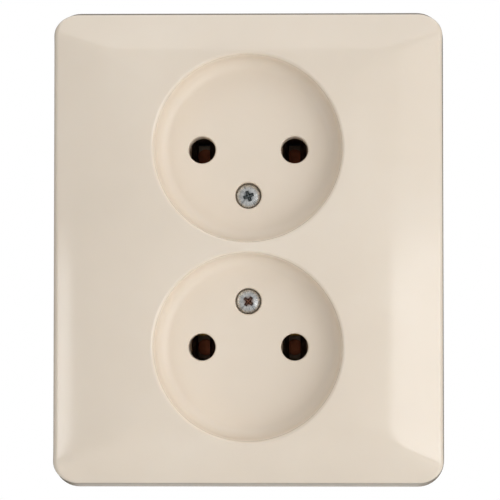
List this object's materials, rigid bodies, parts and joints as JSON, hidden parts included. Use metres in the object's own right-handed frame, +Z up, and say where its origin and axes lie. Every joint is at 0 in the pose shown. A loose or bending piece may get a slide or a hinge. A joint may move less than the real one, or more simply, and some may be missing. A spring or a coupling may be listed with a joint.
{
  "type": "duplex wall outlet",
  "caption": "Flush duplex wall outlet: one soft-edged rectangular cover with round dished wells, on a round insert with a support ring, screw terminals and expansion claws.",
  "frame": {"origin": "middle of the line between the two box screws, on the wall's face", "axes": "+X to the right, +Z up, +Y into the wall; the cover faces -Y"},
  "size_m": [0.0804, 0.0345, 0.098],
  "materials": {
    "ivory_moulding": "glossy moulded urea plastic, cream, fine rounded edges",
    "zinc_plated_steel": "bright zinc plate on turned and pressed steel",
    "galvanised_plate": "galvanised sheet with a faint spangle",
    "spring_steel": "stamped and bent strip, passivated",
    "bright_steel": "bright drawn rivet steel",
    "phenolic": "dark brown phenolic moulding, slightly mottled",
    "phenolic_lid": "dark brown phenolic moulding, satin",
    "brass_strip": "rolled brass strip, lightly tarnished",
    "copper_wire": "copper rivet wire, headed and darkened",
    "nickel_plate": "nickel plated stamping",
    "terminal_steel": "yellow passivated steel screw"
  },
  "bodies": {
    "root": {"socket_base": "phenolic", "support_ring": "galvanised_plate", "ring_rivets": "bright_steel", "rear_lid": "phenolic_lid", "lid_screws": "zinc_plated_steel", "cover_nuts": "zinc_plated_steel", "live_busbar": "brass_strip", "neutral_busbar": "brass_strip", "live_contact_lower": "brass_strip", "live_contact_upper": "brass_strip", "neutral_contact_lower": "brass_strip", "neutral_contact_upper": "brass_strip", "contact_rivets": "copper_wire", "claw_pivot_pins": "zinc_plated_steel"},
    "cover": {"cover_plate": "ivory_moulding"},
    "cover_screw_lower": {"cover_screw_lower": "zinc_plated_steel"},
    "cover_screw_upper": {"cover_screw_upper": "zinc_plated_steel"},
    "clamp_live_lower": {"clamp_plate_live_lower": "nickel_plate"},
    "terminal_live_lower": {"terminal_screw_live_lower": "terminal_steel"},
    "clamp_live_upper": {"clamp_plate_live_upper": "nickel_plate"},
    "terminal_live_upper": {"terminal_screw_live_upper": "terminal_steel"},
    "clamp_neutral_lower": {"clamp_plate_neutral_lower": "nickel_plate"},
    "terminal_neutral_lower": {"terminal_screw_neutral_lower": "terminal_steel"},
    "clamp_neutral_upper": {"clamp_plate_neutral_upper": "nickel_plate"},
    "terminal_neutral_upper": {"terminal_screw_neutral_upper": "terminal_steel"},
    "claw_screw_left": {"claw_screw_left": "zinc_plated_steel"},
    "claw_nut_left": {"claw_nut_left": "zinc_plated_steel"},
    "claw_left": {"claw_left": "spring_steel"},
    "claw_screw_right": {"claw_screw_right": "zinc_plated_steel"},
    "claw_nut_right": {"claw_nut_right": "zinc_plated_steel"},
    "claw_right": {"claw_right": "spring_steel"}
  },
  "joints": [
    {"name": "cover_off", "type": "slide", "parent": "root", "child": "cover", "axis": [0, -1, 0], "range_m": [0, 0.04]},
    {"name": "cover_screw_lower_turn", "type": "hinge", "parent": "cover", "child": "cover_screw_lower", "pos_m": [0, -0.0016, -0.01085], "axis": [0, -1, 0], "range_deg": [0, 3240]},
    {"name": "cover_screw_upper_turn", "type": "hinge", "parent": "cover", "child": "cover_screw_upper", "pos_m": [0, -0.0016, 0.01085], "axis": [0, -1, 0], "range_deg": [0, 3240]},
    {"name": "clamp_live_lower_open", "type": "slide", "parent": "root", "child": "clamp_live_lower", "axis": [0, -1, 0], "range_m": [0, 0.002]},
    {"name": "terminal_live_lower_turn", "type": "hinge", "parent": "clamp_live_lower", "child": "terminal_live_lower", "pos_m": [-0.0095, 0.014, -0.008], "axis": [0, -1, 0], "range_deg": [0, 1200.5]},
    {"name": "clamp_live_upper_open", "type": "slide", "parent": "root", "child": "clamp_live_upper", "axis": [0, -1, 0], "range_m": [0, 0.002]},
    {"name": "terminal_live_upper_turn", "type": "hinge", "parent": "clamp_live_upper", "child": "terminal_live_upper", "pos_m": [-0.0095, 0.014, 0.008], "axis": [0, -1, 0], "range_deg": [0, 1200.5]},
    {"name": "clamp_neutral_lower_open", "type": "slide", "parent": "root", "child": "clamp_neutral_lower", "axis": [0, -1, 0], "range_m": [0, 0.002]},
    {"name": "terminal_neutral_lower_turn", "type": "hinge", "parent": "clamp_neutral_lower", "child": "terminal_neutral_lower", "pos_m": [0.0095, 0.014, -0.008], "axis": [0, -1, 0], "range_deg": [0, 1200.5]},
    {"name": "clamp_neutral_upper_open", "type": "slide", "parent": "root", "child": "clamp_neutral_upper", "axis": [0, -1, 0], "range_m": [0, 0.002]},
    {"name": "terminal_neutral_upper_turn", "type": "hinge", "parent": "clamp_neutral_upper", "child": "terminal_neutral_upper", "pos_m": [0.0095, 0.014, 0.008], "axis": [0, -1, 0], "range_deg": [0, 1200.5]},
    {"name": "claw_screw_left_turn", "type": "hinge", "parent": "root", "child": "claw_screw_left", "pos_m": [-0.0209, -0.002, 0], "axis": [0, 1, 0], "range_deg": [0, 658.5]},
    {"name": "claw_nut_left_travel", "type": "slide", "parent": "root", "child": "claw_nut_left", "axis": [0, -1, 0], "range_m": [0, 0.0011]},
    {"name": "claw_left_swing", "type": "hinge", "parent": "root", "child": "claw_left", "pos_m": [-0.0249, 0.0184, 0], "axis": [0, 0, -1], "range_deg": [0, 15]},
    {"name": "claw_screw_right_turn", "type": "hinge", "parent": "root", "child": "claw_screw_right", "pos_m": [0.0209, -0.002, 0], "axis": [0, 1, 0], "range_deg": [0, 658.5]},
    {"name": "claw_nut_right_travel", "type": "slide", "parent": "root", "child": "claw_nut_right", "axis": [0, -1, 0], "range_m": [0, 0.0011]},
    {"name": "claw_right_swing", "type": "hinge", "parent": "root", "child": "claw_right", "pos_m": [0.0249, 0.0184, 0], "axis": [0, 0, 1], "range_deg": [0, 15]}
  ],
  "couplings": [
    {"joint": "terminal_live_lower_turn", "follows": "clamp_live_lower_open", "rad_per_m": 10472},
    {"joint": "terminal_live_upper_turn", "follows": "clamp_live_upper_open", "rad_per_m": 10472},
    {"joint": "terminal_neutral_lower_turn", "follows": "clamp_neutral_lower_open", "rad_per_m": 10472},
    {"joint": "terminal_neutral_upper_turn", "follows": "clamp_neutral_upper_open", "rad_per_m": 10472},
    {"joint": "claw_screw_left_turn", "follows": "claw_nut_left_travel", "rad_per_m": 10472},
    {"joint": "claw_left_swing", "follows": "claw_nut_left_travel", "rad_per_m": 238.7},
    {"joint": "claw_screw_right_turn", "follows": "claw_nut_right_travel", "rad_per_m": 10472},
    {"joint": "claw_right_swing", "follows": "claw_nut_right_travel", "rad_per_m": 238.7}
  ]
}
